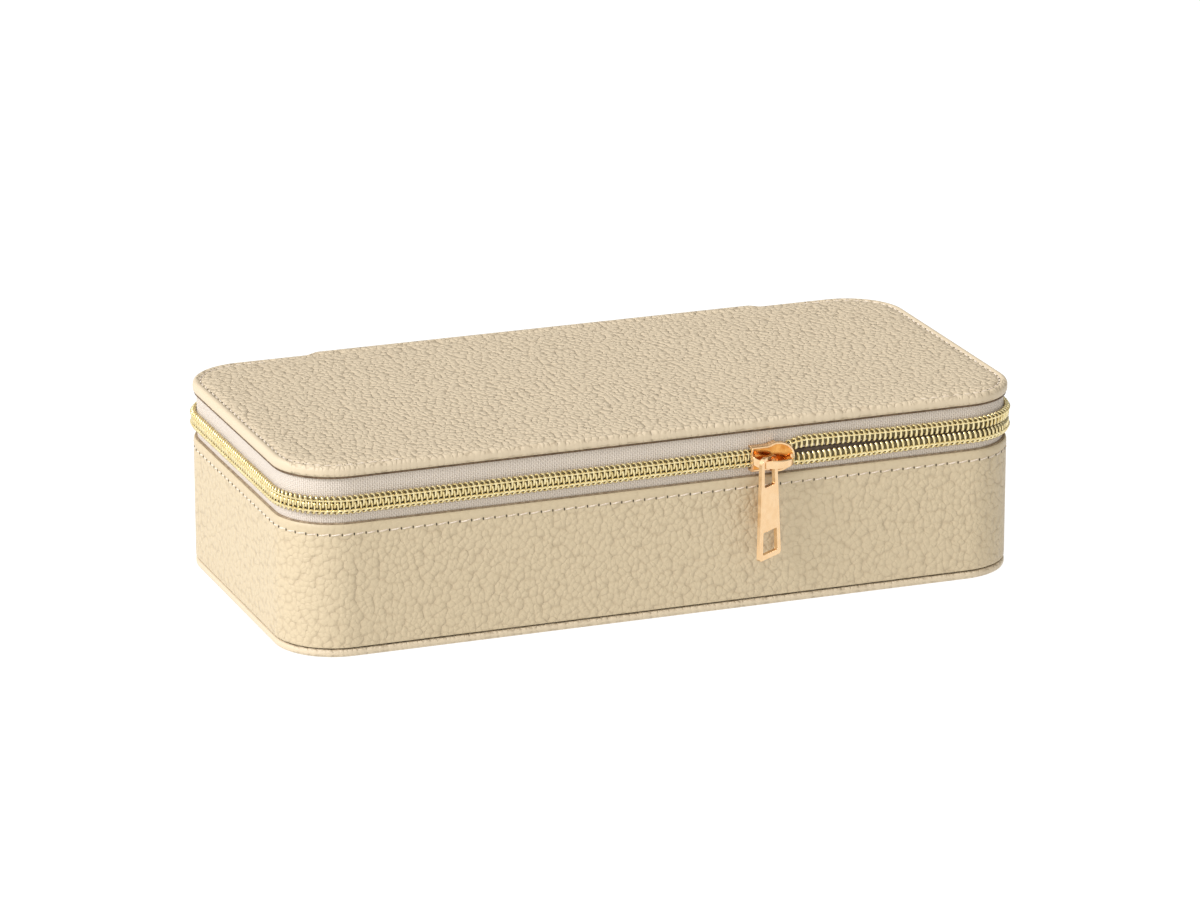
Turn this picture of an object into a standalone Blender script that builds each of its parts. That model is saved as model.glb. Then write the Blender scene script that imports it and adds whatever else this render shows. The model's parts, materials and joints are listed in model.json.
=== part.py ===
"""Zippered jewellery box: leather-covered base and lid, leather spine, coil zipper round the other sides.

Frame: metres, +X along the length, -Y towards the front, +Z up, origin at the centre of the flat underside.
The base is fixed. The lid turns about the spine, the slider runs along the front and the pull hangs on it.
An inset is a distance inwards, square to the box's outline. A negative inset stands proud of the outline.
"""

import math

import bmesh
import bpy
from mathutils import Matrix, Vector

MM = 0.001

# Outline and levels
LENGTH = 200.0 * MM
DEPTH = 96.0 * MM
CORNER_R = 16.0 * MM
CORNER_STEPS = 6
BOTTOM_SEAM_Z = 2.2 * MM
WALL_TOP_Z = 35.0 * MM
ZIP_Z = 40.1 * MM
LIP_Z = 47.3 * MM
LID_TOP_Z = 50.2 * MM

# Layers of the wall, outside to inside
LEATHER_T = 0.8 * MM
TAPE_OUTER = 1.0 * MM
TAPE_T = 0.45 * MM
BOARD_OUTER = 1.9 * MM
BOARD_T = 1.4 * MM
FOLD = 0.4 * MM
LINING_OUTER = 3.5 * MM
LINING_T = 1.0 * MM
WALL_LINING_TOP_Z = ZIP_Z - 1.1 * MM
INNER = LINING_OUTER + LINING_T + 0.2 * MM
GAP = 0.15 * MM
PANEL_T = 0.7 * MM

# Zipper
ZIP_END_X = 63.6 * MM
TAPE_EDGE = 1.0 * MM
LOWER_TAPE_FOOT_Z = 27.5 * MM
COIL_HALF = 2.45 * MM
COIL_HEIGHT = 3.35 * MM
COIL_FRONT = -0.55 * MM
COIL_BACK = 0.85 * MM
LOWER_SPREAD = 0.8 * MM
UPPER_SPREAD = 1.9 * MM
UPPER_SETTLE = 0.6 * MM
SETTLED_X = 60.0 * MM
CHAIN_GAP = 0.15 * MM
DIAMOND_GAP = 1.0 * MM

# Lid
HEM = 5.0 * MM
HEM_TOP_Z = LIP_Z + 0.6 * MM
TONGUE_HALF = 63.0 * MM
TONGUE_OUT = 1.1 * MM
TONGUE_UP = 0.3 * MM
TONGUE_STEP = 4.0 * MM
LID_SKIN = 0.7 * MM
LID_FRAME_Z = 44.3 * MM
LID_LINING_Z = 41.6 * MM
PAD_LOW_Z = LIP_Z - 2.7 * MM
PAD_SOFT = 1.2 * MM

# Spine
SPINE_T = 0.7 * MM
SPINE_LINING_T = 0.5 * MM
SPINE_LINING_LOW_Z = 34.0 * MM

# Topstitching
WALL_STITCH_Z = WALL_TOP_Z - 2.65 * MM
LID_STITCH_INSET = 2.1 * MM
LID_STITCH_END_X = 78.0 * MM
THREAD_HALF = 0.15 * MM

# Inside of the base
FURNITURE_Z = BOTTOM_SEAM_Z + 1.7 * MM
FLOOR_LINING_T = 1.4 * MM
DIVIDER_T = 2.0 * MM
DIVIDER_TOP = 30.0 * MM
ROLL_PITCH = 12.3 * MM
ROLL_W = 12.0 * MM
ROLL_TOP = 20.0 * MM
ROLL_HALF_LENGTH = 40.0 * MM
ROLL_COUNT = 5
ROLL_START = -91.7 * MM
RING_WALL_X = ROLL_START + ROLL_COUNT * ROLL_PITCH + DIVIDER_T / 2
CROSS_X = 34.0 * MM
JOIN = 0.3 * MM

# Slider, in its own frame: X along the zipper, Z up, both from its middle
SLIDER_X = 27.9 * MM
SLIDER_HALF = 5.6 * MM
PLATE_REAR = 3.3 * MM
PLATE_FRONT = 4.0 * MM
FLARE_X = -0.5 * MM
FLARE_END_X = 1.5 * MM
NOSE_R = 3.6 * MM
PLATE_OUTER = -1.6 * MM
PLATE_INNER = -0.75 * MM
BACK_PLATE = (1.65 * MM, 2.45 * MM)
FLANGE_T = 0.6 * MM
FLANGE_DEPTH = 0.75 * MM
DIAMOND_HALF = 0.75 * MM
DIAMOND_X = (0.9 * MM, 2.6 * MM, 4.6 * MM)
LAP = 0.1 * MM

# Bridge: a strap whose centre line runs through these (x, inset) points, in mm in the slider's frame
BRIDGE_PATH = [
    (-4.9, -1.8), (-4.5, -2.45), (-1.95, -3.9), (-0.3, -4.6),
    (1.2, -4.8), (3.0, -4.4), (4.3, -3.2), (4.8, -1.8),
]
BRIDGE_T = 0.8 * MM
BRIDGE_HALF = 1.05 * MM
BRIDGE_SAG = 1.0 * MM
SAG_INSET = -3.2 * MM

# Pull tab, hung on the bridge's rear slope and turned about the vertical to lie square to that slope
PULL_POINT = Vector(BRIDGE_PATH[2]) * MM
PULL_TURN = math.radians(31)
PULL_T = 1.05 * MM
PULL_TOP = 2.35 * MM
PULL_LENGTH = 27.3 * MM
PULL_HALF_TOP = 3.15 * MM
PULL_HALF_FOOT = 4.0 * MM
PULL_FOOT = PULL_TOP - PULL_LENGTH
UPPER_WINDOW = (1.4 * MM, -6.2 * MM, 2.1 * MM, 2.2 * MM, 0.6 * MM)
LOWER_WINDOW = (PULL_FOOT + 7.1 * MM, PULL_FOOT + 1.35 * MM, 2.5 * MM, 2.7 * MM, 0.4 * MM)

HINGE = Vector((0, DEPTH / 2, ZIP_Z))
SLIDER = Vector((SLIDER_X, -DEPTH / 2, ZIP_Z))
PULL = SLIDER + Vector((PULL_POINT.x, PULL_POINT.y, -BRIDGE_SAG))

LEATHER = ("leather", (0.66, 0.53, 0.36), 0.55, 0.0)
THREAD = ("thread", (0.74, 0.62, 0.48), 0.7, 0.0)
TAPE = ("zipper_tape", (0.66, 0.55, 0.45), 0.8, 0.0)
GOLD_COIL = ("coil", (0.75, 0.62, 0.32), 0.3, 1.0)
ROSE_GOLD = ("slider_metal", (0.90, 0.58, 0.30), 0.2, 1.0)
BOARD = ("board", (0.35, 0.30, 0.24), 0.9, 0.0)
VELVET = ("velvet", (0.70, 0.60, 0.48), 0.95, 0.0)


def clear_scene():
    for old in list(bpy.data.objects):
        bpy.data.objects.remove(old)


def make_material(name, finish):
    slot, colour, roughness, metallic = finish
    material = bpy.data.materials.new(f"{name}_{slot}")
    material.use_nodes = True
    shader = material.node_tree.nodes["Principled BSDF"]
    shader.inputs["Base Color"].default_value = (*colour, 1)
    shader.inputs["Roughness"].default_value = roughness
    shader.inputs["Metallic"].default_value = metallic
    return material


def pivot(name, place, parent=None):
    """An empty on a joint's axis, which carries the pieces that move about it."""
    empty = bpy.data.objects.new(name, None)
    bpy.context.scene.collection.objects.link(empty)
    empty.parent = parent
    empty.location = place - parent.location if parent else place
    return empty


def add_node(name, bm, finish, parent=None, origin=None, smooth_angle=40):
    """Makes bm, drawn in world coordinates, a named object with its origin at its parent or a point."""
    bmesh.ops.recalc_face_normals(bm, faces=bm.faces)
    mesh = bpy.data.meshes.new(name)
    bm.to_mesh(mesh)
    bm.free()
    place = origin if origin else Vector((0, 0, 0))
    mesh.transform(Matrix.Translation(-place))
    mesh.shade_smooth()
    mesh.set_sharp_from_angle(angle=math.radians(smooth_angle))
    mesh.materials.append(make_material(name, finish))
    node = bpy.data.objects.new(name, mesh)
    bpy.context.scene.collection.objects.link(node)
    if parent:
        node.parent = parent
    else:
        node.location = place
    return node


def outline(back_xs=(), front_xs=()):
    """Stations (x, y, outward normal) anticlockwise round the box from the middle of the back."""
    half_x, half_y = LENGTH / 2 - CORNER_R, DEPTH / 2 - CORNER_R
    corners = ((-half_x, half_y, 90), (-half_x, -half_y, 180), (half_x, -half_y, 270), (half_x, half_y, 0))
    back = sorted(back_xs, reverse=True)
    stations = [(x, DEPTH / 2, 0, 1) for x in back if x <= 0]
    for cx, cy, start in corners:
        if start == 270:
            stations += [(x, -DEPTH / 2, 0, -1) for x in sorted(front_xs)]
        for step in range(CORNER_STEPS + 1):
            turn = math.radians(start + 90 * step / CORNER_STEPS)
            nx, ny = math.cos(turn), math.sin(turn)
            stations.append((cx + CORNER_R * nx, cy + CORNER_R * ny, nx, ny))
    return stations + [(x, DEPTH / 2, 0, 1) for x in back if x > 0]


def swept(stations, section, ring=True, tray=False):
    """A solid from a section of (inset, z) points, given at each station by section(station).

    ring joins the last station to the first. tray leaves the section open, and flat caps close its two ends.
    """
    bm = bmesh.new()
    rows = []
    for station in stations:
        x, y, nx, ny = station
        rows.append([bm.verts.new((x - nx * inset, y - ny * inset, z)) for inset, z in section(station)])
    count = len(rows[0])
    for i in range(len(rows) if ring else len(rows) - 1):
        row, after = rows[i], rows[(i + 1) % len(rows)]
        for j in range(count - 1 if tray else count):
            k = (j + 1) % count
            bm.faces.new((row[j], row[k], after[k], after[j]))
    if tray:
        bm.faces.new([row[0] for row in rows])
        bm.faces.new([row[-1] for row in rows])
    if not ring:
        bm.faces.new(rows[0])
        bm.faces.new(rows[-1])
    return bm


def band(outer, inner, low, high):
    """A square section between two insets and two levels."""
    return [(outer, low), (outer, high), (inner, high), (inner, low)]


def plate(inset, low, high, soft=0.0):
    """The edge of a flat plate, with its lower edge rounded off by that much."""
    edge = [(inset, low)]
    if soft:
        edge = [(inset + soft, low), (inset + soft * 0.3, low + soft * 0.3), (inset, low + soft)]
    return edge + [(inset, high)]


def prism(points, low, high, axis):
    """A solid between two levels along an axis, from points in the plane of the other two axes."""
    def place(a, b, level):
        return {"X": (level, a, b), "Y": (a, level, b), "Z": (a, b, level)}[axis]

    bm = bmesh.new()
    ends = [[bm.verts.new(place(a, b, level)) for a, b in points] for level in (low, high)]
    for i in range(len(points)):
        k = (i + 1) % len(points)
        bm.faces.new((ends[0][i], ends[0][k], ends[1][k], ends[1][i]))
    bm.faces.new(ends[0])
    bm.faces.new(ends[1])
    return bm


def smoothstep(t):
    t = min(max(t, 0.0), 1.0)
    return t * t * (3 - 2 * t)


def unzipped(station):
    """How far the two coils have come apart: 0 behind the slider's middle, 1 once they are past its nose."""
    x, y, _, ny = station
    if ny >= 0 and x <= 0:
        return 0.0
    if x > LENGTH / 2 - CORNER_R or ny >= 0:
        return 1.0
    return smoothstep((x - SLIDER_X + 1 * MM) / (13 * MM)) if y < 0 else 0.0


def boolean(node, cutter_bm, operation, name):
    """Adds an exact Boolean of a hidden solid to a node. cutter_bm is drawn in the node's own coordinates."""
    bmesh.ops.recalc_face_normals(cutter_bm, faces=cutter_bm.faces)
    mesh = bpy.data.meshes.new(name)
    cutter_bm.to_mesh(mesh)
    cutter_bm.free()
    cutter = bpy.data.objects.new(name, mesh)
    bpy.context.scene.collection.objects.link(cutter)
    cutter.parent = node.parent
    cutter.location = node.location
    cutter.hide_render = True
    cutter.display_type = "WIRE"
    modifier = node.modifiers.new(name, "BOOLEAN")
    modifier.operation = operation
    modifier.solver = "EXACT"
    modifier.object = cutter


# Base


def build_bottom():
    seam = BOTTOM_SEAM_Z - GAP
    rim = [(PANEL_T, PANEL_T), (PANEL_T, seam), (0.3 * MM, seam), (0, seam - FOLD)]
    rim += [(0, 0.9 * MM), (0.25 * MM, 0.3 * MM), (0.9 * MM, 0)]
    add_node("bottom_cover", swept(outline(), lambda s: rim, tray=True), LEATHER)
    board = plate(PANEL_T + 0.2 * MM, PANEL_T + GAP, seam)
    add_node("bottom_board", swept(outline(), lambda s: board, tray=True), BOARD)


def build_wall():
    low, high = BOTTOM_SEAM_Z + 0.1 * MM, WALL_TOP_Z
    cover = [(0, low + FOLD), (0, high - FOLD), (0.12 * MM, high - 0.1 * MM), (FOLD, high)]
    cover += [(LEATHER_T - 0.12 * MM, high - 0.1 * MM), (LEATHER_T, high - FOLD)]
    cover += [(LEATHER_T, low), (FOLD, low)]
    add_node("wall_cover", swept(outline(), lambda s: cover), LEATHER)
    board = band(BOARD_OUTER, BOARD_OUTER + BOARD_T, low, high - 0.6 * MM)
    add_node("wall_board", swept(outline(), lambda s: board), BOARD)
    lining = band(LINING_OUTER, LINING_OUTER + LINING_T, low, WALL_LINING_TOP_Z)
    add_node("wall_lining", swept(outline(), lambda s: lining), VELVET)
    floor = plate(INNER, low, low + FLOOR_LINING_T)
    add_node("floor_lining", swept(outline(), lambda s: floor, tray=True), VELVET)
    thread = band(-0.3 * MM, -0.05 * MM, WALL_STITCH_Z - THREAD_HALF, WALL_STITCH_Z + THREAD_HALF)
    add_node("wall_thread", swept(outline(), lambda s: thread), THREAD)


def build_tapes(lid):
    stations = outline(back_xs=(-ZIP_END_X, ZIP_END_X))
    inner = TAPE_OUTER + TAPE_T
    lower = band(TAPE_OUTER, inner, LOWER_TAPE_FOOT_Z, ZIP_Z - TAPE_EDGE)
    add_node("lower_tape", swept(stations, lambda s: lower, ring=False), TAPE)
    edge, top, turned_in = ZIP_Z + TAPE_EDGE, LIP_Z - 0.2 * MM, LIP_Z - 0.6 * MM
    upper = [(TAPE_OUTER, edge), (TAPE_OUTER, top), (HEM, top)]
    upper += [(HEM, turned_in), (inner, turned_in), (inner, edge)]
    add_node("upper_tape", swept(stations, lambda s: upper, ring=False), TAPE, lid, HINGE)


def coil_section(low, high):
    chamfer = min(0.6 * MM, (high - low) * 0.3)
    middle = (COIL_FRONT + COIL_BACK) / 2
    return [
        (COIL_BACK, low + chamfer), (COIL_BACK, high - chamfer), (middle, high),
        (COIL_FRONT, high - chamfer), (COIL_FRONT, low + chamfer), (middle, low),
    ]


def build_coils(lid):
    """Each coil as the strip that its turns fill: half the chain where zipped, its own height where not."""
    spread_xs = [SLIDER_X + step * MM for step in (-2, -1, 0, 1, 3, 5, 7, 9, 12)] + [SETTLED_X]
    stations = outline(back_xs=(-ZIP_END_X, ZIP_END_X), front_xs=spread_xs)

    def parting(station):
        near_slider = station[3] == -1 and abs(station[0] - SLIDER_X - 4 * MM) < 5.5 * MM
        return DIAMOND_GAP if near_slider and station[0] > SLIDER_X + 0.5 * MM else CHAIN_GAP

    def lower(station):
        low = ZIP_Z - COIL_HALF - LOWER_SPREAD * unzipped(station)
        return coil_section(low, ZIP_Z - parting(station))

    def upper(station):
        lift = UPPER_SPREAD * unzipped(station)
        if station[0] > SETTLED_X:
            lift -= UPPER_SETTLE
        low = max(ZIP_Z + parting(station), ZIP_Z + COIL_HALF + lift - COIL_HEIGHT)
        return coil_section(low, ZIP_Z + COIL_HALF + max(lift, 0))

    add_node("lower_coil", swept(stations, lower, ring=False), GOLD_COIL)
    add_node("upper_coil", swept(stations, upper, ring=False), GOLD_COIL, lid, HINGE)


def build_spine():
    """The leather hinge: it is tucked in behind the wall's top edge and runs up to the lid's tongue."""
    back = DEPTH / 2
    foot_z, tucked = LOWER_TAPE_FOOT_Z, back - TAPE_OUTER
    top_z = LIP_Z - 0.3 * MM
    outer = [(tucked, foot_z), (tucked, WALL_TOP_Z), (tucked + 0.2 * MM, 38 * MM)]
    outer += [(tucked + 0.6 * MM, 41 * MM), (tucked + 1.2 * MM, 44 * MM)]
    outer += [(tucked + 1.9 * MM, 46.2 * MM), (tucked + 2.0 * MM, top_z)]
    inner = [(y - SPINE_T, z) for y, z in outer]
    bm = prism(outer + inner[::-1], -TONGUE_HALF, TONGUE_HALF, "X")
    add_node("spine_cover", bm, LEATHER)
    face = back - INNER
    strip = band(face - SPINE_LINING_T, face, SPINE_LINING_LOW_Z, LID_FRAME_Z)
    add_node("spine_lining", prism(strip, -TONGUE_HALF + MM, TONGUE_HALF - MM, "X"), VELVET)


# Inside of the base

def soft_top(middle, width, low, high, steps):
    """A section with a round top: (across, z) points."""
    radius = width / 2
    points = [(middle - radius, low), (middle + radius, low)]
    for step in range(steps + 1):
        turn = math.pi * step / steps
        points.append((middle + radius * math.cos(turn), high - radius + radius * math.sin(turn)))
    return points


def build_ring_rolls():
    for number in range(ROLL_COUNT):
        middle = ROLL_START + ROLL_PITCH * (number + 0.5)
        section = soft_top(middle, ROLL_W, FURNITURE_Z, ROLL_TOP, 8)
        bm = prism(section, -ROLL_HALF_LENGTH, ROLL_HALF_LENGTH, "Y")
        add_node(f"ring_roll_{number + 1}", bm, VELVET)


def build_dividers():
    half_depth = DEPTH / 2 - INNER - JOIN
    right_end = LENGTH / 2 - INNER - JOIN
    main = soft_top(RING_WALL_X, DIVIDER_T, FURNITURE_Z, DIVIDER_TOP, 4)
    add_node("divider_main", prism(main, -half_depth, half_depth, "Y"), VELVET)
    long = soft_top(0, DIVIDER_T, FURNITURE_Z, DIVIDER_TOP, 4)
    start = RING_WALL_X + DIVIDER_T / 2 + JOIN
    add_node("divider_long", prism(long, start, right_end, "X"), VELVET)
    cross = soft_top(CROSS_X, DIVIDER_T, FURNITURE_Z, DIVIDER_TOP, 4)
    near = DIVIDER_T / 2 + JOIN
    add_node("divider_front", prism(cross, -half_depth, -near, "Y"), VELVET)
    add_node("divider_back", prism(cross, near, half_depth, "Y"), VELVET)


# Lid


def tongue(station):
    """How much of the back edge's raised tongue there is at a station, 0 to 1."""
    x, y, _, ny = station
    return smoothstep((TONGUE_HALF + TONGUE_STEP / 2 - abs(x)) / TONGUE_STEP) if y > 0 and ny == 1 else 0.0


def build_lid(lid):
    steps = [TONGUE_HALF + TONGUE_STEP * share for share in (-0.5, -0.2, 0.2, 0.5)]
    stations = outline(back_xs=[-x for x in steps] + steps)

    def cover(station):
        out, up = TONGUE_OUT * tongue(station), TONGUE_UP * tongue(station)
        inside = [(LID_SKIN, LID_TOP_Z - LID_SKIN), (LID_SKIN, HEM_TOP_Z), (HEM, HEM_TOP_Z), (HEM, LIP_Z)]
        edge = [
            (0.8 * MM - out, LIP_Z), (0.25 * MM - out, LIP_Z + 0.25 * MM), (-out, LIP_Z + 0.8 * MM),
            (-out, LID_TOP_Z - 0.9 * MM + up), (0.25 * MM - out, LID_TOP_Z - 0.3 * MM + up),
            (0.9 * MM - out, LID_TOP_Z + up), (4.0 * MM, LID_TOP_Z),
        ]
        return inside + edge

    add_node("lid_cover", swept(stations, cover, tray=True), LEATHER, lid, HINGE)
    board = plate(LID_SKIN + GAP, HEM_TOP_Z + GAP, LID_TOP_Z - LID_SKIN - GAP)
    add_node("lid_board", swept(outline(), lambda s: board, tray=True), BOARD, lid, HINGE)
    frame_top = LIP_Z - 0.8 * MM
    frame = band(BOARD_OUTER, BOARD_OUTER + BOARD_T, LID_FRAME_Z, frame_top)
    add_node("lid_frame", swept(outline(), lambda s: frame), BOARD, lid, HINGE)
    lining = band(LINING_OUTER, LINING_OUTER + LINING_T, LID_LINING_Z, frame_top)
    add_node("lid_lining", swept(outline(), lambda s: lining), VELVET, lid, HINGE)
    pad = plate(HEM + 0.2 * MM, PAD_LOW_Z, HEM_TOP_Z, soft=PAD_SOFT)
    add_node("lid_pad", swept(outline(), lambda s: pad, tray=True), VELVET, lid, HINGE)


def build_lid_threads(lid):
    """Two runs of topstitching, each down a short side and round both of its corners."""
    low, high = LID_TOP_Z + 0.05 * MM, LID_TOP_Z + 0.3 * MM
    section = band(LID_STITCH_INSET - THREAD_HALF, LID_STITCH_INSET + THREAD_HALF, low, high)
    end = LID_STITCH_END_X
    left = [s for s in outline(back_xs=(-end,), front_xs=(-end,)) if s[0] < 0]
    right = [s for s in outline(back_xs=(end,), front_xs=(end,)) if s[0] > 0]
    for run, name in ((left, "lid_thread_left"), (right, "lid_thread_right")):
        add_node(name, swept(run, lambda s: section, ring=False), THREAD, lid, HINGE)


# Slider and pull


def plate_outline(shrink=0.0):
    """The slider's plate seen from the front, in its own frame: square rear, flared, round at the nose."""
    rear, front = PLATE_REAR - shrink, PLATE_FRONT - shrink
    upper = [(-SLIDER_HALF, rear), (FLARE_X, rear), (FLARE_END_X, front)]
    nose_x = SLIDER_HALF - NOSE_R
    for step in range(1, 6):
        turn = math.radians(90 - 15 * step)
        upper.append((nose_x + NOSE_R * math.cos(turn), front * math.sin(turn)))
    lower = [(x, -z) for x, z in reversed(upper)]
    return upper + lower


def build_slider(carriage):
    """Two plates joined at the nose by the diamond that parts the coils, with flanges that guide them."""
    front = prism(plate_outline(), PLATE_OUTER, PLATE_INNER, "Y")
    front.transform(Matrix.Translation(SLIDER))
    body = add_node("slider_body", front, ROSE_GOLD, carriage, SLIDER)
    boolean(body, prism(plate_outline(0.3 * MM), *BACK_PLATE, "Y"), "UNION", "slider_back_plate")
    tip_x, wide_x, end_x = DIAMOND_X
    end_half = DIAMOND_HALF * 0.7
    diamond = [(tip_x, 0), (wide_x, DIAMOND_HALF), (end_x, end_half)]
    diamond += [(end_x, -end_half), (wide_x, -DIAMOND_HALF)]
    boolean(body, prism(diamond, PLATE_INNER - LAP, BACK_PLATE[0] + LAP, "Y"), "UNION", "slider_diamond")
    outer = [(-SLIDER_HALF, PLATE_REAR), (FLARE_X, PLATE_REAR), (FLARE_END_X, PLATE_FRONT)]
    inner = [(x, z - FLANGE_T) for x, z in reversed(outer)]
    tip = (FLARE_END_X + 0.9 * MM, PLATE_FRONT - FLANGE_T / 2)
    for side, name in ((1, "slider_upper_flange"), (-1, "slider_lower_flange")):
        flange = [(x, z * side) for x, z in (*outer, tip, *inner)]
        boolean(body, prism(flange, PLATE_INNER - LAP, FLANGE_DEPTH, "Y"), "UNION", name)


def build_bridge(carriage):
    """A strap arched from the rear of the plate to its nose. Its rear slope sags a little under the pull."""
    path = [Vector(point) * MM for point in BRIDGE_PATH]
    sides = []
    for i, point in enumerate(path):
        along = path[min(i + 1, len(path) - 1)] - path[max(i - 1, 0)]
        if i in (0, len(path) - 1):
            along = Vector((0, -1 if i == 0 else 1))
        across = Vector((along.y, -along.x)).normalized() * BRIDGE_T / 2
        sides.append((point + across, point - across))
    profile = [outer for outer, _ in sides] + [inner for _, inner in reversed(sides)]
    foot = path[0].y

    def sag(point):
        reach = min((foot - point.y) / (foot - SAG_INSET), 1.0)
        return BRIDGE_SAG * max(reach, 0.0)

    bm = bmesh.new()
    ends = []
    for half in (-BRIDGE_HALF, BRIDGE_HALF):
        ends.append([bm.verts.new(SLIDER + Vector((point.x, point.y, half - sag(point)))) for point in profile])
    for i in range(len(profile)):
        k = (i + 1) % len(profile)
        bm.faces.new((ends[0][i], ends[0][k], ends[1][k], ends[1][i]))
    bm.faces.new(ends[0])
    bm.faces.new(ends[1])
    add_node("slider_bridge", bm, ROSE_GOLD, carriage, SLIDER)


def rounded(corners, steps=3):
    """A polygon of (x, z, radius) corners with each corner rounded by an arc."""
    points = []
    for i, (x, z, radius) in enumerate(corners):
        here = Vector((x, z))
        before = Vector(corners[i - 1][:2]) - here
        after = Vector(corners[(i + 1) % len(corners)][:2]) - here
        half = before.angle(after) / 2
        reach = radius / math.tan(half)
        start, end = here + before.normalized() * reach, here + after.normalized() * reach
        centre = here + (before.normalized() + after.normalized()).normalized() * radius / math.sin(half)
        for step in range(steps + 1):
            chord = start.lerp(end, step / steps) - centre
            points.append(tuple(centre + chord.normalized() * radius))
    return points


def window(top, bottom, half_top, half_bottom, radius):
    return rounded([
        (-half_top, top, radius), (-half_bottom, bottom, radius),
        (half_bottom, bottom, radius), (half_top, top, radius),
    ], 2)


def build_pull(swing):
    """A tapered tab with a window at each end. The bridge passes through the upper one."""
    tab = rounded([
        (-PULL_HALF_TOP, PULL_TOP, 2.0 * MM), (-PULL_HALF_FOOT, PULL_FOOT, 0.9 * MM),
        (PULL_HALF_FOOT, PULL_FOOT, 0.9 * MM), (PULL_HALF_TOP, PULL_TOP, 2.0 * MM),
    ])
    turn = Matrix.Rotation(PULL_TURN, 4, "Z")
    bm = prism(tab, -PULL_T / 2, PULL_T / 2, "Y")
    bm.transform(Matrix.Translation(PULL) @ turn)
    pull = add_node("pull_tab", bm, ROSE_GOLD, swing, PULL)
    for size, name in ((UPPER_WINDOW, "pull_window"), (LOWER_WINDOW, "pull_foot_window")):
        cut = prism(window(*size), -PULL_T, PULL_T, "Y")
        cut.transform(turn)
        boolean(pull, cut, "DIFFERENCE", name)


clear_scene()
lid_pivot = pivot("lid_pivot", HINGE)
slider_carriage = pivot("slider_carriage", SLIDER)
pull_pivot = pivot("pull_pivot", PULL, slider_carriage)
build_bottom()
build_wall()
build_tapes(lid_pivot)
build_coils(lid_pivot)
build_spine()
build_ring_rolls()
build_dividers()
build_lid(lid_pivot)
build_lid_threads(lid_pivot)
build_slider(slider_carriage)
build_bridge(slider_carriage)
build_pull(pull_pivot)
bpy.context.view_layer.update()
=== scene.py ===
"""Looks of the zippered jewellery box: pebbled leather, stitches, tapes, coils, slider, pull and velvet.

Lengths are metres in the frame's own axes. s is a distance round the box, anticlockwise seen from above,
from the middle of the back. An inset is a distance inwards, square to the outline. A negative inset stands
proud of it.
"""

import json
import math

import bmesh
import bpy
from mathutils import Matrix, Vector


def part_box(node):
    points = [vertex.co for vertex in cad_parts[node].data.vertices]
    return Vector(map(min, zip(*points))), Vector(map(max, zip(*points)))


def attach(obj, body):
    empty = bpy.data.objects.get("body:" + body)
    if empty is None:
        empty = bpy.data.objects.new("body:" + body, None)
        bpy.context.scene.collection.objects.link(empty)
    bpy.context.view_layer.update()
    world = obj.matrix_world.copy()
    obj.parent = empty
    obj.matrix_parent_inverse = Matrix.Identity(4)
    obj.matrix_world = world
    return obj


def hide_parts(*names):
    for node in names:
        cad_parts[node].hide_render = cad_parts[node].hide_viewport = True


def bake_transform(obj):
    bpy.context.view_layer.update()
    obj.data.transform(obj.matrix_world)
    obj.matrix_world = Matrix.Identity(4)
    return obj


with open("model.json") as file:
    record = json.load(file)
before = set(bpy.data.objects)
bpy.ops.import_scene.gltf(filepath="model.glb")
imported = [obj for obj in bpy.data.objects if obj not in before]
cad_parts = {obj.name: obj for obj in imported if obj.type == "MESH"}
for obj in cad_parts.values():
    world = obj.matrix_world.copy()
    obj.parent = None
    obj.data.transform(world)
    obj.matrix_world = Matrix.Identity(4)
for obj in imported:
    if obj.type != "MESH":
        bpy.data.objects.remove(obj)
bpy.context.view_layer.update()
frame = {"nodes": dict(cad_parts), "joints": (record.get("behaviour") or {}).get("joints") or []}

MM = 0.001

# Outline and levels, most of them read from the frame
HALF_X, HALF_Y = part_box("wall_cover")[1].xy
CORNER_R = 16 * MM
SEAM_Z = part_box("bottom_cover")[1].z
WALL_LOW, WALL_TOP = (corner.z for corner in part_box("wall_cover"))
LIP_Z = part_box("lid_cover")[0].z
TONGUE_UP = 0.3 * MM
LID_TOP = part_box("lid_cover")[1].z - TONGUE_UP
JOINTS = {joint["name"]: joint for joint in frame["joints"]}
HINGE = Vector(JOINTS["lid_hinge"]["pos_m"])
PULL = Vector(JOINTS["pull_swing"]["pos_m"])
PULL_AXIS = Vector(JOINTS["pull_swing"]["axis"])
ZIP_Z = HINGE.z
SLIDER_LOW, SLIDER_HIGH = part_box("slider_body")
SLIDER = Vector(((SLIDER_LOW.x + SLIDER_HIGH.x) / 2, -HALF_Y, ZIP_Z))
SLIDER_HALF = (SLIDER_HIGH.x - SLIDER_LOW.x) / 2

# Zipper: ZIP_END is where the tapes end beside the spine, PITCH is from turn to turn along a coil, and
# COIL_HALF is half of the closed chain's width
TAPE_INSET = 1.0 * MM
TAPE_T = 0.45 * MM
ZIP_END = 63.6 * MM
PITCH = 1.455 * MM
COIL_HALF = 2.45 * MM
NOSE_OUT = 0.9 * MM
PULL_T = 1.05 * MM
PULL_LEAN = math.radians(-1.3)

# Stitches: they lie in a groove of the leather. STITCH_FILL is the share of the pitch that a stitch takes,
# STITCH_SLANT how far it leans across its seam, and HOLE_OUT how far a hole's rim stands out of the groove
STITCH_PITCH = 3.1 * MM
STITCH_Z = (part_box("wall_thread")[0].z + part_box("wall_thread")[1].z) / 2
WALL_GROOVE = 0.16 * MM
LID_GROOVE = 0.42 * MM
LID_STITCH_INSET = 2.1 * MM
LID_STITCH_FADE = 3 * MM
THREAD_R = 0.19 * MM
STITCH_SLANT = 0.36 * MM
STITCH_FILL = 0.76
HOLE_HALF_W, HOLE_HALF_H = 0.17 * MM, 0.42 * MM
HOLE_OUT = 0.14 * MM

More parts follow.
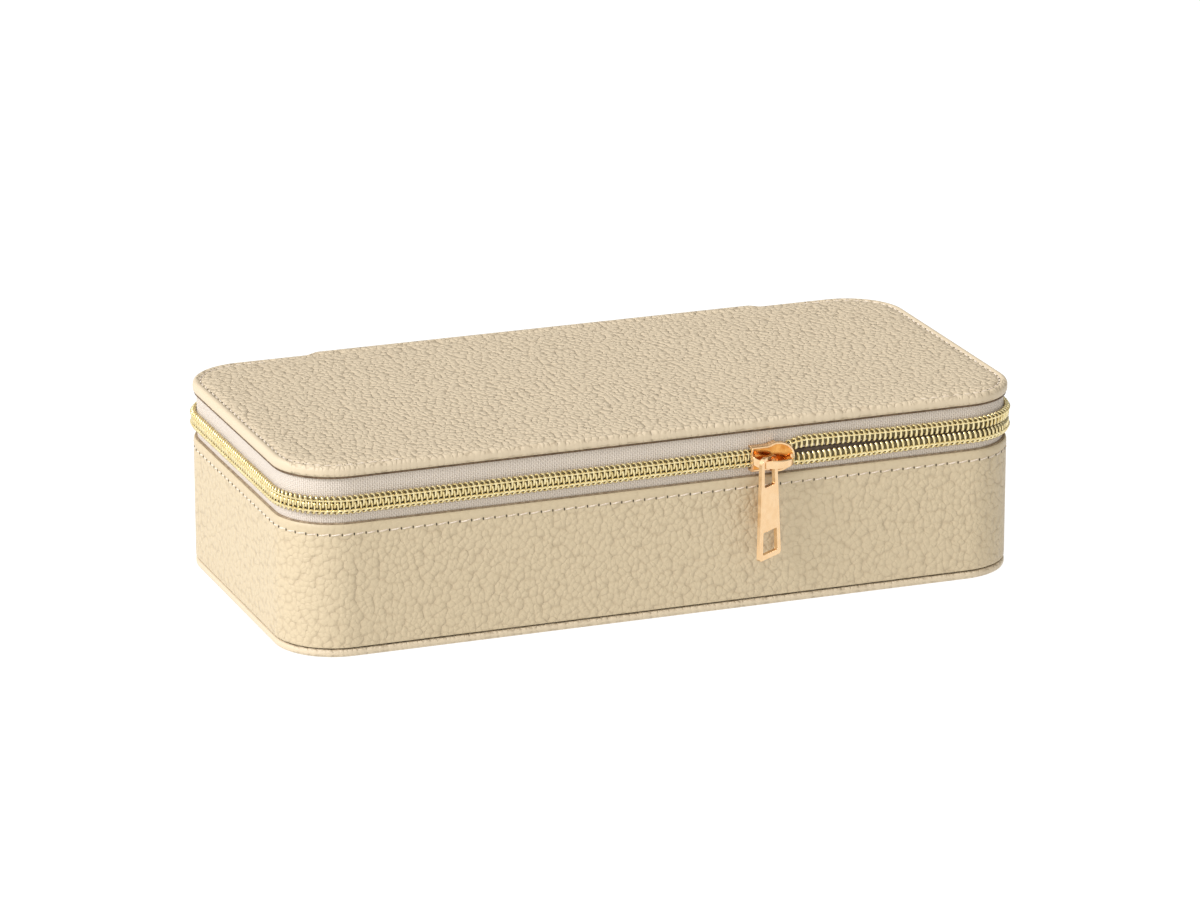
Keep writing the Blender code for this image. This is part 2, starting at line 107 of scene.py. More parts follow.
# Spine, and the tongue of the lid over it
TONGUE_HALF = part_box("spine_cover")[1].x
TONGUE_OUT = 1.1 * MM
TONGUE_STEP = 4.0 * MM
SPINE_T = 0.7 * MM
SPINE_VELVET_T = 0.5 * MM
SPINE_VELVET_LOW, SPINE_VELVET_HIGH = 34 * MM, 44.3 * MM


# The outline

RUN_X, RUN_Y = HALF_X - CORNER_R, HALF_Y - CORNER_R
BEND = CORNER_R * math.pi / 2
BEND_STEPS = 16
# Each part: its kind, its length, its start or its bend's centre, and the angle of its first outward normal
PARTS = [
    ("run", RUN_X, 0, HALF_Y, 90), ("bend", BEND, -RUN_X, RUN_Y, 90),
    ("run", 2 * RUN_Y, -HALF_X, RUN_Y, 180), ("bend", BEND, -RUN_X, -RUN_Y, 180),
    ("run", 2 * RUN_X, -RUN_X, -HALF_Y, 270), ("bend", BEND, RUN_X, -RUN_Y, 270),
    ("run", 2 * RUN_Y, HALF_X, -RUN_Y, 0), ("bend", BEND, RUN_X, RUN_Y, 0),
    ("run", RUN_X, RUN_X, HALF_Y, 90),
]
PERIMETER = sum(part[1] for part in PARTS)
FRONT_S = RUN_X + BEND + 2 * RUN_Y + BEND + RUN_X


def spot(s):
    """The outline's point at s, its outward normal and its direction of travel."""
    s = min(max(s, 0.0), PERIMETER)
    for kind, length, x, y, angle in PARTS:
        if s <= length + 1e-9:
            break
        s -= length
    turn = math.radians(angle) + (s / CORNER_R if kind == "bend" else 0)
    normal = Vector((math.cos(turn), math.sin(turn), 0))
    along = Vector((-normal.y, normal.x, 0))
    start = Vector((x, y, 0))
    return (start + normal * CORNER_R if kind == "bend" else start + along * s), normal, along


def stops(start=0.0, end=PERIMETER, extra=()):
    """Places along the outline: the ends, the bends in small steps, and any extra ones."""
    found, s = {start, end, *extra}, 0.0
    for kind, length, *_ in PARTS:
        steps = BEND_STEPS if kind == "bend" else 1
        found.update(s + length * step / steps for step in range(steps + 1))
        s += length
    ordered = sorted(value for value in found if start - 1e-9 <= value <= end + 1e-9)
    return [ordered[0]] + [b for a, b in zip(ordered, ordered[1:]) if b - a > 1e-6]


def smoothstep(t):
    """A smooth rise from 0 to 1 as t goes from 0 to 1."""
    t = min(max(t, 0.0), 1.0)
    return t * t * (3 - 2 * t)


# Making pieces


def make_piece(name, verts, faces, material, body, replaces=(), uvs=None, sharp=50):
    """A mesh piece with outward normals. It rides on its body and stands for the nodes it replaces."""
    mesh = bpy.data.meshes.new(name)
    mesh.from_pydata([tuple(v) for v in verts], [], faces)
    if uvs:
        layer = mesh.uv_layers.new(name="Cloth")
        for entry, corner in zip(layer.data, (corner for face in uvs for corner in face)):
            entry.uv = corner
    bm = bmesh.new()
    bm.from_mesh(mesh)
    bmesh.ops.recalc_face_normals(bm, faces=bm.faces)
    bm.to_mesh(mesh)
    bm.free()
    mesh.shade_smooth()
    mesh.set_sharp_from_angle(angle=math.radians(sharp))
    mesh.materials.append(material)
    piece = bpy.data.objects.new(name, mesh)
    bpy.context.scene.collection.objects.link(piece)
    if body:
        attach(piece, body)
    if replaces:
        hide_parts(*replaces)
    return piece


def swept(places, section, ring=True, tray=False):
    """Vertices, faces and cloth UVs of a section of (inset, z) points carried round the outline.

    ring joins the last place to the first. tray leaves the section open and caps both its ends with a flat.
    The UVs are metres along and across the cloth, and metres in plan on the caps.
    """
    verts, across = [], []
    for s in places[:-1] if ring else places:
        point, normal, _ = spot(s)
        points = section(s)
        verts += [point - normal * inset + Vector((0, 0, z)) for inset, z in points]
        across.append([0.0])
        for a, b in zip(points, points[1:] + points[:1]):
            across[-1].append(across[-1][-1] + math.dist(a, b))
    count, rows = len(across[0]) - 1, len(across)
    faces, uvs = [], []
    for i in range(rows if ring else rows - 1):
        after = (i + 1) % rows
        a, b, near, far = i * count, after * count, places[i], places[i + 1]
        for j in range(count - 1 if tray else count):
            k = (j + 1) % count
            faces.append((a + j, a + k, b + k, b + j))
            uvs.append([(near, across[i][j]), (near, across[i][j + 1])])
            uvs[-1] += [(far, across[after][j + 1]), (far, across[after][j])]
    if tray:
        faces += [[i * count for i in range(rows)], [i * count + count - 1 for i in range(rows)]]
    if not ring:
        faces += [list(range(count)), list(range((rows - 1) * count, rows * count))]
    uvs += [[verts[i].xy for i in face] for face in faces[len(uvs):]]
    return verts, faces, uvs


def tube(path, radii, ups, sides):
    """A closed tube along points. ups holds each ring's second direction, and radii its size."""
    verts, faces = [], []
    for i, point in enumerate(path):
        along = (path[min(i + 1, len(path) - 1)] - path[max(i - 1, 0)]).normalized()
        across = along.cross(ups[i]).normalized()
        up = across.cross(along)
        for side in range(sides):
            turn = 2 * math.pi * side / sides
            verts.append(point + (across * math.cos(turn) + up * math.sin(turn)) * radii[i])
    for i in range(len(path) - 1):
        for side in range(sides):
            k = (side + 1) % sides
            a, b = i * sides, (i + 1) * sides
            faces.append((a + side, a + k, b + k, b + side))
    faces += [list(range(sides)), list(range(len(verts) - sides, len(verts)))]
    return verts, faces


def joined(shapes):
    """One list of vertices and faces from many."""
    verts, faces = [], []
    for more_verts, more_faces in shapes:
        start = len(verts)
        verts += more_verts
        faces += [[start + index for index in face] for face in more_faces]
    return verts, faces


def prism(points, low, high):
    """A solid from a flat outline of (x, z) points, between two insets at the front."""
    count = len(points)
    verts = [Vector((x, inset, z)) for inset in (low, high) for x, z in points]
    faces = [(i, (i + 1) % count, count + (i + 1) % count, count + i) for i in range(count)]
    return verts, faces + [list(range(count)), list(range(count, 2 * count))]


def bevel(piece, width):
    """Rounds the sharp edges of a piece."""
    modifier = piece.modifiers.new("edges", "BEVEL")
    modifier.width = width
    modifier.segments = 3
    modifier.limit_method = "ANGLE"
    modifier.angle_limit = math.radians(35)
    modifier.harden_normals = True


# Materials


class Surface:
    """A Principled material and short calls that add nodes to it."""

    def __init__(self, name, roughness, metallic=0.0, colour=None, sheen=0.0):
        self.material = bpy.data.materials.new(name)
        self.material.use_nodes = True
        self.tree = self.material.node_tree
        self.shader = self.tree.nodes["Principled BSDF"]
        self.set(self.shader, Roughness=roughness, Metallic=metallic)
        self.shader.inputs["Sheen Weight"].default_value = sheen
        if colour:
            self.shader.inputs["Base Color"].default_value = (*colour, 1)

    def set(self, node, **sockets):
        for socket, value in sockets.items():
            if isinstance(value, bpy.types.NodeSocket):
                self.tree.links.new(value, node.inputs[socket.replace("_", " ")])
            else:
                node.inputs[socket.replace("_", " ")].default_value = value

    def add(self, kind, settings=None, **sockets):
        node = self.tree.nodes.new("ShaderNode" + kind)
        for name, value in (settings or {}).items():
            setattr(node, name, value)
        self.set(node, **sockets)
        return node

    def place(self):
        return self.add("TexCoord").outputs["Object"]

    def cloth(self):
        return self.add("UVMap", {"uv_map": "Cloth"}).outputs["UV"]

    def math(self, operation, a, b=0.0):
        node = self.add("Math", {"operation": operation})
        for socket, value in zip(node.inputs, (a, b)):
            if isinstance(value, bpy.types.NodeSocket):
                self.tree.links.new(value, socket)
            else:
                socket.default_value = value
        return node.outputs[0]

    def noise(self, vector, scale, detail=2.0):
        return self.add("TexNoise", Vector=vector, Scale=scale, Detail=detail).outputs["Fac"]

    def distance(self, settings, **sockets):
        return self.add("TexVoronoi", settings, **sockets).outputs["Distance"]

    def wave(self, value, length):
        """A sine of the value, length apart from crest to crest."""
        return self.math("SINE", self.math("MULTIPLY", value, 2 * math.pi / length))

    def warped(self, vector, scale, reach):
        """The vector pushed about by a noise, up to half of reach each way."""
        drift = self.add("TexNoise", Vector=vector, Scale=scale, Detail=2.0).outputs["Color"]
        push = self.add("VectorMath", {"operation": "MULTIPLY_ADD"})
        self.tree.links.new(drift, push.inputs[0])
        push.inputs[1].default_value = (reach, reach, reach)
        self.tree.links.new(vector, push.inputs[2])
        return push.outputs[0]

    def ramp(self, value, low, high, to_low=0.0, to_high=1.0):
        settings = {"interpolation_type": "SMOOTHSTEP"}
        node = self.add("MapRange", settings, Value=value, From_Min=low, From_Max=high)
        self.set(node, To_Min=to_low, To_Max=to_high)
        return node.outputs[0]

    def blend(self, factor, dark, light):
        node = self.add("Mix", {"data_type": "RGBA"})
        self.tree.links.new(factor, node.inputs[0])
        node.inputs[6].default_value = (*dark, 1)
        node.inputs[7].default_value = (*light, 1)
        return node.outputs[2]

    def finish(self, colour, height=None, depth=0.0, roughness=None):
        """The finished material. The bump and the roughness are set where they are given."""
        self.set(self.shader, Base_Color=colour)
        if roughness:
            self.set(self.shader, Roughness=roughness)
        if height:
            bump = self.add("Bump", Height=height, Distance=depth, Strength=1.0)
            self.set(self.shader, Normal=bump.outputs[0])
        return self.material


def leather_material(name, depth, tones, creased, flat=False, stitched=True):
    """Pebbled leather: low domes of uneven size with fine creases between them, as strong as creased says.

    flat draws the grain in plan, for the lid and the bottom, and smooths it on their rolled edges and
    outside the lid's stitches. Otherwise the grain follows the cloth, and stitched smooths it above the
    wall's stitches.
    """
    skin = Surface(name, 0.5)
    place = skin.place()
    spread = skin.warped(skin.warped(place if flat else skin.cloth(), 240.0, 0.0016), 700.0, 0.0008)
    edges = {"feature": "DISTANCE_TO_EDGE", "voronoi_dimensions": "2D"}
    cells = {"feature": "SMOOTH_F1", "voronoi_dimensions": "2D"}
    edge = skin.distance(edges, Vector=spread, Scale=1 / GRAIN)
    pebble = skin.distance(cells, Vector=spread, Scale=1 / GRAIN, Smoothness=0.35)
    fine = skin.distance(cells, Vector=spread, Scale=2.1 / GRAIN, Smoothness=0.4)
    parts = skin.add("SeparateXYZ", Vector=place)
    if flat:
        facing = skin.add("SeparateXYZ", Vector=skin.add("TexCoord").outputs["Normal"])
        kept = skin.ramp(skin.math("ABSOLUTE", facing.outputs[2]), 0.05, 0.5, 0.2, 1.0)
        strip = HALF_X - LID_STITCH_INSET
        kept = skin.math("MULTIPLY", kept, skin.ramp(
            skin.math("ABSOLUTE", parts.outputs[0]), strip - 0.4 * MM, strip + 0.2 * MM, 1.0, 0.1))
    elif stitched:
        kept = skin.ramp(parts.outputs[2], STITCH_Z - 0.8 * MM, STITCH_Z + 0.2 * MM, 1.0, 0.35)
    else:
        kept = 1.0
    kept = skin.math("MULTIPLY", skin.ramp(skin.noise(place, 130.0, 2.0), 0.3, 0.7, 0.8, 1.0), kept)
    rise = skin.math("MULTIPLY", skin.math("MULTIPLY", pebble, pebble), -1.0)
    rise = skin.math("ADD", rise, skin.math("MULTIPLY", skin.math("MULTIPLY", fine, fine), -0.22))
    broken = skin.ramp(skin.noise(place, 420.0, 2.0), 0.38, 0.62, 0.5, 1.0)
    crease = skin.math("MULTIPLY", skin.ramp(edge, 0.0, 0.16, creased, 0.0), broken)
    rise = skin.math("ADD", rise, skin.math("MULTIPLY", crease, -0.28))
    height = skin.math("MULTIPLY", rise, kept)
    height = skin.math("ADD", height, skin.math("MULTIPLY", skin.noise(place, 2600.0, 3.0), 0.07))
    # Painted shade: the colour darkens in the creases and towards the edges of the domes, where shade falls.
    shade = skin.math("ADD", skin.math("MULTIPLY", crease, 0.38), skin.ramp(pebble, 0.35, 0.75, 0.0, 0.4))
    colour = skin.blend(skin.math("MULTIPLY", shade, kept), *tones)
    gloss = skin.ramp(skin.noise(place, 900.0, 2.0), 0.3, 0.7, 0.44, 0.56)
    return skin.finish(colour, height, depth, gloss)


def tape_material():
    """Woven tape: fine ribs that stand square to the zipper, crossed by a slanted twill."""
    cloth = Surface("zipper_tape_weave", 0.85, sheen=0.25)
    spread = cloth.add("SeparateXYZ", Vector=cloth.cloth())
    along, across = spread.outputs[0], spread.outputs[1]
    slant = cloth.math("ADD", along, cloth.math("MULTIPLY", across, 0.9))
    rib, rows = cloth.wave(along, 0.62 * MM), cloth.wave(across, 0.5 * MM)
    twill = cloth.wave(slant, 0.95 * MM)
    weave = cloth.math("ADD", cloth.math("MULTIPLY", rib, 0.5), cloth.math("MULTIPLY", twill, 0.3))
    weave = cloth.math("ADD", weave, cloth.math("MULTIPLY", rows, 0.25))
    fuzz = cloth.noise(cloth.place(), 2600.0, 3.0)
    height = cloth.math("ADD", weave, cloth.math("MULTIPLY", fuzz, 0.8))
    # Painted shade: the colour follows the weave's height, darker in the hollows between ribs, together with
    # a fine uneven fuzz.
    colour = cloth.blend(cloth.ramp(height, -0.6, 1.2), (0.53, 0.45, 0.36), (0.73, 0.64, 0.54))
    return cloth.finish(colour, height, 0.00008)


def thread_material():
    """Pale sewing thread, uneven with its twist."""
    yarn = Surface("sewing_thread", 0.6, sheen=0.3)
    place = yarn.place()
    twist = yarn.noise(place, 2400.0, 2.0)
    colour = yarn.blend(yarn.ramp(twist, 0.3, 0.7), (0.62, 0.50, 0.38), (0.86, 0.76, 0.63))
    return yarn.finish(colour, twist, 0.00006)


def coil_material():
    """Metallised pale gold: brighter and darker turns, with faint draw marks."""
    gold = Surface("coil_gold", 0.22, 0.9)
    place = gold.place()
    turn = gold.noise(place, 700.0, 2.0)
    colour = gold.blend(gold.ramp(turn, 0.3, 0.7), (0.74, 0.60, 0.29), (0.90, 0.78, 0.46))
    return gold.finish(colour, gold.noise(place, 3000.0, 2.0), 0.00001)


def metal_material(name, dark, light):
    """Polished gold plating, with faint polishing marks in its gloss."""
    gold = Surface(name, 0.14, 1.0)
    place = gold.place()
    swirl = gold.noise(place, 500.0, 3.0)
    colour = gold.blend(gold.ramp(swirl, 0.3, 0.7), dark, light)
    gloss = gold.ramp(swirl, 0.3, 0.7, 0.10, 0.2)
    return gold.finish(colour, gold.noise(place, 160.0, 1.0), 0.00001, gloss)


def velvet_material():
    """Short pile, brushed a little one way and the other."""
    pile = Surface("velvet_pile", 0.95, sheen=0.8)
    place = pile.place()
    brushed = pile.noise(place, 55.0, 3.0)
    tufts = pile.noise(place, 3500.0, 2.0)
    colour = pile.blend(pile.ramp(brushed, 0.3, 0.7), (0.55, 0.455, 0.35), (0.63, 0.53, 0.415))
    return pile.finish(colour, tufts, 0.00012)


def board_material():
    """Raw stiffener board, with its fibres."""
    card = Surface("grey_board", 0.9)
    fibres = card.noise(card.place(), 900.0, 4.0)
    colour = card.blend(card.ramp(fibres, 0.3, 0.7), (0.22, 0.19, 0.15), (0.36, 0.32, 0.26))
    return card.finish(colour, fibres, 0.00005)


def coil_gap_shade_material():
    """A cord inside the coils, coloured as painted shade: nearly black in the middle of the closed chain for
    the shadow in the gaps, and olive elsewhere for the rear legs in shade.
    """
    cord = Surface("coil_gap_painted_shade", 0.7)
    x, _, z = cord.add("SeparateXYZ", Vector=cord.place()).outputs
    uneven = cord.math("MULTIPLY", cord.noise(cord.place(), 900.0, 1.0), 2 * MM)
    opened = cord.ramp(cord.math("ADD", x, uneven), SLIDER.x, SLIDER.x + 2 * MM)
    away = cord.math("ABSOLUTE", cord.math("SUBTRACT", z, ZIP_Z - 0.4 * MM))
    olive_shade_mask = cord.math("MAXIMUM", opened, cord.ramp(away, 0.9 * MM, 1.4 * MM))
    # Painted shade: black for the gaps between the turns, olive for the shaded gold of the rear legs.
    return cord.finish(cord.blend(olive_shade_mask, (0.022, 0.015, 0.006), (0.17, 0.13, 0.055)))


def dark_material(name, dark, light):
    """A matt dark colour, a little uneven. It paints shade in the needle holes and on the cut edges, and
    colours the rim bindings.
    """
    matt = Surface(name, 0.9)
    shade = matt.noise(matt.place(), 900.0, 1.0)
    return matt.finish(matt.blend(matt.ramp(shade, 0.3, 0.7), dark, light))


# The leather's colours, on its domes and in its creases, and the size of its grain. The darker crease colour
# is painted shade. The lid's lighter pair and the wall's darker, yellower pair are one leather, painted
# lighter on top and darker on the sides as painted light and shade.
PAINTED_LIGHT_LID_TONES = ((0.635, 0.52, 0.355), (0.48, 0.375, 0.24))
PAINTED_SHADE_WALL_TONES = ((0.585, 0.472, 0.30), (0.45, 0.345, 0.21))
GRAIN = 1.6 * MM
PANEL_LEATHER = leather_material("pebbled_leather_flat", 0.50 * MM, PAINTED_LIGHT_LID_TONES, 0.75, flat=True)
WALL_LEATHER = leather_material("pebbled_leather_wall", 0.36 * MM, PAINTED_SHADE_WALL_TONES, 0.35)
SPINE_LEATHER = leather_material("pebbled_leather_spine", 0.36 * MM, PAINTED_SHADE_WALL_TONES, 0.35, stitched=False)
TAPE = tape_material()
THREAD = thread_material()
COIL = coil_material()
METAL = metal_material("rose_gold", (0.85, 0.57, 0.31), (0.89, 0.63, 0.37))
# Painted reflection and shade: the sunk face's deeper orange stands for light bouncing inside the hollow.
GOLD_WITH_PAINTED_SHADE = metal_material("gold_with_painted_shade", (0.62, 0.24, 0.045), (0.82, 0.42, 0.12))
VELVET = velvet_material()
BOARD = board_material()
# Painted shade: the needle holes are near black for the shadow inside them.
HOLE_SHADE = dark_material("needle_hole_shade", (0.03, 0.02, 0.012), (0.06, 0.042, 0.026))
# Partly stain and partly painted shade: the two cut edges are dark for the shadow under the lid's lip and
# along the wall's fold.
LIP_EDGE_STAIN_AND_SHADE = dark_material("lip_edge_stain_and_shade", (0.10, 0.06, 0.03), (0.17, 0.11, 0.06))
WALL_EDGE_STAIN_AND_SHADE = dark_material("wall_edge_stain_and_shade", (0.24, 0.17, 0.10), (0.36, 0.27, 0.17))
COIL_GAP_SHADE = coil_gap_shade_material()
BINDING = dark_material("rim_binding", (0.17, 0.125, 0.09), (0.24, 0.18, 0.13))


# Leather shells


def build_wall():
    """The side leather: turned under at the foot, pressed in along the stitch line, folded in at the top."""
    foot = [(0.9, 0.25), (0.5, 0.1), (0.2, 0.16), (0.04, 0.4), (0, 0.9)]
    section = [(inset * MM, WALL_LOW + rise * MM) for inset, rise in foot]
    section += [(0, STITCH_Z - 1.4 * MM), (0.05 * MM, STITCH_Z - 0.5 * MM), (WALL_GROOVE, STITCH_Z)]
    section += [(0.03 * MM, STITCH_Z + 0.6 * MM), (-0.05 * MM, STITCH_Z + 1.3 * MM)]
    fold = [(-0.01, -0.7), (0.09, -0.28), (0.3, -0.04), (0.55, -0.06), (0.75, -0.3), (0.8, -0.9)]
    section += [(inset * MM, WALL_TOP + rise * MM) for inset, rise in fold]
    section += [(0.85 * MM, WALL_LOW + 3 * MM)]
    verts, faces, uvs = swept(stops(), lambda s: section)
    make_piece("wall_leather", verts, faces, WALL_LEATHER, "base", ["wall_cover"], uvs)


def build_bottom():
    """The bottom panel: its leather wraps over the edge and leaves a dark seam under the wall."""
    rim = [(0.9, -0.02), (0.5, -0.03), (0.2, -0.14), (0.03, -0.42), (0, -0.8), (0, -1.1)]
    section = [(inset * MM, SEAM_Z + rise * MM) for inset, rise in rim]
    section += [(inset * MM, z * MM) for inset, z in ((0.05, 0.6), (0.25, 0.22), (0.6, 0.04), (1.0, 0.0))]
    verts, faces, uvs = swept(stops(), lambda s: section, tray=True)
    make_piece("bottom_leather", verts, faces, PANEL_LEATHER, "base", ["bottom_cover"], uvs)


def from_middle(s):
    """The distance along the outline from the middle of the back, either way."""
    return min(s, PERIMETER - s)


def tongue(s):
    """How much of the back edge's raised tongue there is at s."""
    return smoothstep((TONGUE_HALF + TONGUE_STEP / 2 - from_middle(s)) / TONGUE_STEP)


# Where the lid's stitches start and end on each side, as distances from the middle of the back
LID_STITCH_FROM = 76 * MM
LID_STITCH_TO = FRONT_S - RUN_X + 14 * MM


def pressed(s):
    """How much of the lid's stitched groove there is at s: it runs down each short side."""
    far = from_middle(s)
    begun = smoothstep((far - LID_STITCH_FROM) / LID_STITCH_FADE + 1)
    return begun * smoothstep((LID_STITCH_TO - far) / LID_STITCH_FADE + 1)


def build_lid():
    """The lid's leather: flat on top, rolled over the edge, turned in below, with a tongue at the back."""

    def section(s):
        out, up = TONGUE_OUT * tongue(s), TONGUE_UP * tongue(s)
        groove = LID_GROOVE * pressed(s)
        line = LID_STITCH_INSET
        top = [
            (7.0 * MM, LID_TOP + 0.22 * MM), (4.6 * MM, LID_TOP + 0.15 * MM),
            (line + 1.3 * MM, LID_TOP + 0.08 * MM), (line + 0.6 * MM, LID_TOP - groove * 0.25),
            (line, LID_TOP - groove), (line - 0.5 * MM, LID_TOP - groove * 0.35 + up * 0.5),
            (1.15 * MM - out * 0.7, LID_TOP + up),
        ]
        roll = [(0.62, -0.1), (0.28, -0.36), (0.07, -0.75), (0, -1.2)]
        edge = [(inset * MM - out, LID_TOP + up + rise * MM) for inset, rise in roll]
        under = [(0, 0.95), (0.07, 0.5), (0.28, 0.16), (0.6, 0.02), (1.1, 0.0)]
        edge += [(inset * MM - out, LIP_Z + rise * MM) for inset, rise in under]
        return top + edge + [(4.9 * MM, LIP_Z + 0.02 * MM), (5.0 * MM, LIP_Z + 0.6 * MM)]

    steps = [TONGUE_HALF + TONGUE_STEP * (share / 8 - 0.5) for share in range(9)]
    fades = [LID_STITCH_FROM - LID_STITCH_FADE * step / 3 for step in range(4)]
    fades += [LID_STITCH_TO + LID_STITCH_FADE * step / 3 for step in range(4)]
    extra = [place for value in steps + fades for place in (value, PERIMETER - value)]
    verts, faces, uvs = swept(stops(extra=extra), section, tray=True)
    make_piece("lid_leather", verts, faces, PANEL_LEATHER, "lid", ["lid_cover"], uvs)


def build_spine():
    """The leather hinge at the back, and its velvet inside."""
    low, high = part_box("spine_cover")
    tucked = HALF_Y - TAPE_INSET
    shape = [(low.z, 0), (WALL_TOP, 0), (WALL_TOP + 3 * MM, 0.2), (ZIP_Z + 0.9 * MM, 0.6), (44 * MM, 1.2)]
    shape += [(46.2 * MM, 1.8), (high.z, 2.0)]

    def bulge(z):
        """How far the spine stands out from the tape at a height."""
        for (z0, out0), (z1, out1) in zip(shape, shape[1:]):
            if z <= z1:
                return (out0 + (out1 - out0) * smoothstep((z - z0) / (z1 - z0))) * MM
        return shape[-1][1] * MM

    rows, columns = 40, 30
    for name, face, thick, bottom, top, half, material, node, slot in (
        ("spine_leather", tucked, SPINE_T, low.z, high.z, high.x, SPINE_LEATHER, "spine_cover", "leather"),
        ("spine_velvet", None, SPINE_VELVET_T, SPINE_VELVET_LOW, SPINE_VELVET_HIGH, high.x - MM, VELVET,
         "spine_lining", "velvet"),
    ):
        inner_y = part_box(node)[0].y
        verts = []
        for side in (0, 1):
            for row in range(rows + 1):
                z = bottom + (top - bottom) * row / rows
                y = (face + bulge(z) if face else inner_y + thick) - thick * side
                across = (-half + 2 * half * column / columns for column in range(columns + 1))
                verts += [Vector((x, y, z)) for x in across]
        wide = columns + 1
        sheet = wide * (rows + 1)
        faces = []
        for start in (0, sheet):
            for row in range(rows):
                for column in range(columns):
                    a = start + row * wide + column
                    faces.append((a, a + 1, a + wide + 1, a + wide))
        rim = list(range(wide)) + [row * wide + columns for row in range(1, rows + 1)]
        rim += [rows * wide + column for column in reversed(range(columns))]
        rim += [row * wide for row in reversed(range(1, rows))]
        for i, a in enumerate(rim):
            b = rim[(i + 1) % len(rim)]
            faces.append((a, b, b + sheet, a + sheet))
        uvs = [[(verts[i].x, verts[i].z) for i in face] for face in faces]
        piece = make_piece(name, verts, faces, material, None, [node], uvs)
        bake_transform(piece)


# Stitching


def stitch(middle, along, out, cross, length):
    """One stitch: a thread that rises out of its first hole, leans over and goes down into the next."""
    count = 7
    path, radii = [], []
    for step in range(count):
        t = step / (count - 1) - 0.5
        rise = 0.16 * MM * math.cos(math.pi * t) - 0.06 * MM
        path.append(middle + along * length * t + cross * STITCH_SLANT * t + out * rise)
        radii.append(THREAD_R * (0.55 + 0.45 * math.cos(math.pi * t)))
    return tube(path, radii, [out] * count, 7)


def needle_hole_shade(middle, along, out, cross):
    """A small dimple where the thread passes through the leather, coloured near black as painted shade inside
    the hole.
    """
    sides = 8
    verts = []
    for k in range(sides):
        turn = 2 * math.pi * k / sides
        verts.append(middle + along * HOLE_HALF_W * math.cos(turn) + cross * HOLE_HALF_H * math.sin(turn))
    verts.append(middle - out * 0.2 * MM)
    return verts, [list(range(sides))] + [(k, (k + 1) % sides, sides) for k in range(sides)]


def stitch_row(name, start, end, place, node, body):
    """A row of stitches and its needle holes.

    place(s) gives the seam's point at s, the way out of the leather and the way across the seam.
    """
    count = round((end - start) / STITCH_PITCH)
    pitch = (end - start) / count
    threads, holes = [], []
    for number in range(count):
        s = start + pitch * (number + 0.5)
        point, out, cross = place(s)
        threads.append(stitch(point, spot(s)[2], out, cross, pitch * STITCH_FILL))
        point, out, cross = place(s + pitch / 2)
        holes.append(needle_hole_shade(point + out * HOLE_OUT, spot(s + pitch / 2)[2], out, cross))
    verts, faces = joined(threads)
    make_piece(name, verts, faces, THREAD, body, [node])
    # Painted shade: the holes are dimples coloured near black for the shadow in them.
    verts, faces = joined(holes)
    make_piece(name + "_hole_shade", verts, faces, HOLE_SHADE, body, (), sharp=30)


def build_stitching():
    """The row round the side leather, and the two rows down the lid's short sides."""

    def on_wall(s):
        point, normal, _ = spot(s % PERIMETER)
        return point - normal * WALL_GROOVE + Vector((0, 0, STITCH_Z)), normal, Vector((0, 0, 1))

    def on_lid(s):
        point, normal, _ = spot(s)
        level = LID_TOP - LID_GROOVE * pressed(s)
        return point - normal * LID_STITCH_INSET + Vector((0, 0, level)), Vector((0, 0, 1)), normal

    stitch_row("wall_stitching", 0.0, PERIMETER, on_wall, "wall_thread", "base")
    stitch_row("lid_stitching_left", LID_STITCH_FROM, LID_STITCH_TO, on_lid, "lid_thread_left", "lid")
    start, end = PERIMETER - LID_STITCH_TO, PERIMETER - LID_STITCH_FROM
    stitch_row("lid_stitching_right", start, end, on_lid, "lid_thread_right", "lid")


# Zipper


def front_x(s):
    """The x of a place on the front. It runs on past the front's two ends."""
    return s - FRONT_S


def unzipped(s):
    """How far the coils have parted at s: 0 left of the slider, and 1 to the right of it."""
    return smoothstep((front_x(s) - SLIDER.x + 1 * MM) / (11 * MM))


def settled(s):
    """How far the parted coils have eased back at s, well to the right of the slider."""
    return smoothstep((front_x(s) - SLIDER.x - 8 * MM) / (34 * MM))


def upper_lift(s):
    """How far the upper coil stands above its closed place at s."""
    return (2.1 - 0.65 * settled(s)) * MM * unzipped(s)


def lower_drop(s):
    """How far the lower coil hangs below its closed place at s."""
    return (0.95 - 0.4 * settled(s)) * MM * unzipped(s)


def build_tapes():
    """The two woven tapes: the lower one stands behind the wall, the upper one turns in under the lid."""
    run = PERIMETER - 2 * ZIP_END
    clear = 1.0 * MM
    places = stops(ZIP_END, PERIMETER - ZIP_END, extra=[ZIP_END + run * i / 90 for i in range(91)])
    low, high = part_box("lower_tape")[0].z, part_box("upper_tape")[1].z

    def wave(s, z):
        """The soft cloth's own unevenness, square to the wall."""
        return 0.06 * MM * math.sin(s / (9.1 * MM)) * math.cos(z / (2.2 * MM) + s / (21 * MM))

    def lower(s):
        levels = [low + (ZIP_Z - clear - low) * i / 10 for i in range(11)]
        face = [(TAPE_INSET + wave(s, z), z) for z in levels]
        return face + [(inset + TAPE_T, z) for inset, z in reversed(face)]

    def upper(s):
        levels = [ZIP_Z + clear + (high - ZIP_Z - clear) * i / 8 for i in range(9)]
        face = [(TAPE_INSET + wave(s, z), z) for z in levels]
        back = [(inset + TAPE_T, z) for inset, z in reversed(face[:-1])]
        turned = [(5 * MM, high), (5 * MM, high - 0.4 * MM), (TAPE_INSET + TAPE_T, high - 0.4 * MM)]
        return face + turned + back

    for name, section, body, node in (
        ("lower_tape_cloth", lower, "base", "lower_tape"),
        ("upper_tape_cloth", upper, "lid", "upper_tape"),
    ):
        verts, faces, uvs = swept(places, section, ring=False)
        make_piece(name, verts, faces, TAPE, body, [node], uvs)


